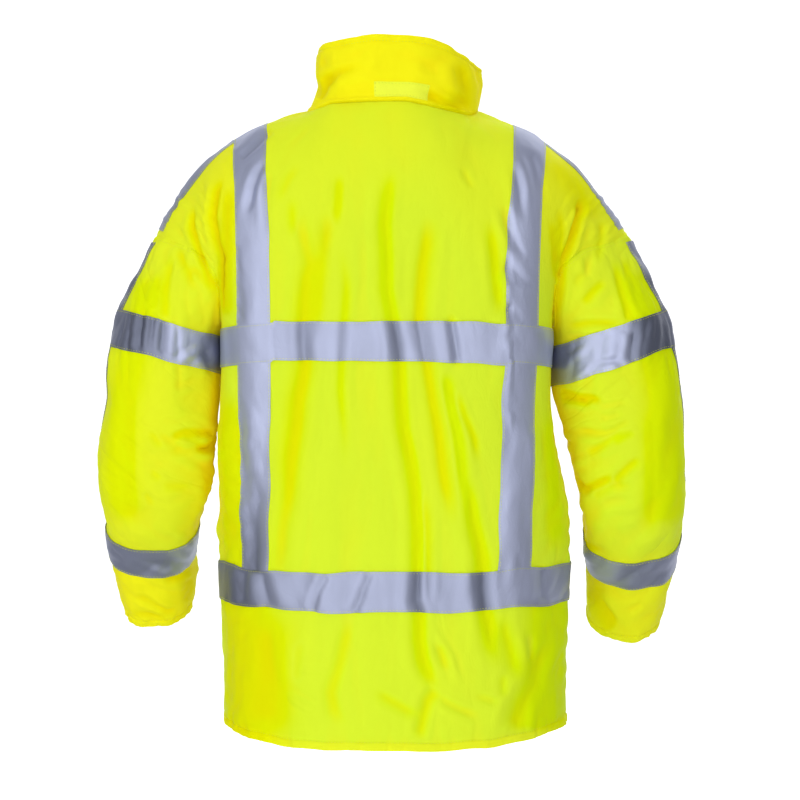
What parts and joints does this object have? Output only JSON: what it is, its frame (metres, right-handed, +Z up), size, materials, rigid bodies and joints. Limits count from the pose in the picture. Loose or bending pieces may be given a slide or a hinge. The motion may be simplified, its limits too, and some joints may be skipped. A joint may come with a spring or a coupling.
{
  "type": "high-visibility work jacket",
  "caption": "Padded high-visibility work jacket with a stand-up collar, zipped front and grey reflective tapes, filled out as if worn, with an empty inside.",
  "frame": {"origin": "middle of the neck, level with the collar seam at the middle of the back", "axes": "+Z up, +Y towards the back of the jacket, +X towards the wearer's left"},
  "size_m": [0.779, 0.3408, 0.9087],
  "materials": {
    "shell_cloth": "fluorescent yellow coated polyester, fine plain weave, slightly satin",
    "reflective_tape": "lavender grey retroreflective tape, satin",
    "loop_patch": "yellow green loop pile of a hook and loop fastener",
    "zip_plastic": "yellow moulded teeth on a woven tape",
    "slider_metal": "satin cast metal"
  },
  "bodies": {
    "jacket": {"back": "shell_cloth", "band_chest_back": "reflective_tape", "band_chest_front_left": "reflective_tape", "band_chest_front_right": "reflective_tape", "band_hem_back": "reflective_tape", "band_hem_front_left": "reflective_tape", "band_hem_front_right": "reflective_tape", "collar": "shell_cloth", "collar_patch": "loop_patch", "collar_welt": "shell_cloth", "front_left": "shell_cloth", "front_right": "shell_cloth", "shoulder_strip_left": "reflective_tape", "shoulder_strip_right": "reflective_tape", "sleeve_band_lower_left": "reflective_tape", "sleeve_band_lower_right": "reflective_tape", "sleeve_band_upper_left": "reflective_tape", "sleeve_band_upper_right": "reflective_tape", "sleeve_left": "shell_cloth", "sleeve_right": "shell_cloth", "sleeve_strip_lower_left": "reflective_tape", "sleeve_strip_lower_right": "reflective_tape", "sleeve_strip_upper_left": "reflective_tape", "sleeve_strip_upper_right": "reflective_tape", "strap_back_left": "reflective_tape", "strap_back_right": "reflective_tape", "strap_front_left": "reflective_tape", "strap_front_right": "reflective_tape", "strap_shoulder_left": "reflective_tape", "strap_shoulder_right": "reflective_tape", "zip": "zip_plastic", "zip_slider": "slider_metal"},
    "pull": {"zip_pull": "slider_metal"}
  },
  "joints": [
    {"name": "pull_hinge", "type": "hinge", "parent": "jacket", "child": "pull", "pos_m": [0, -0.11193, 0.04004], "axis": [-1, 0, 0], "range_deg": [-5, 150]}
  ]
}
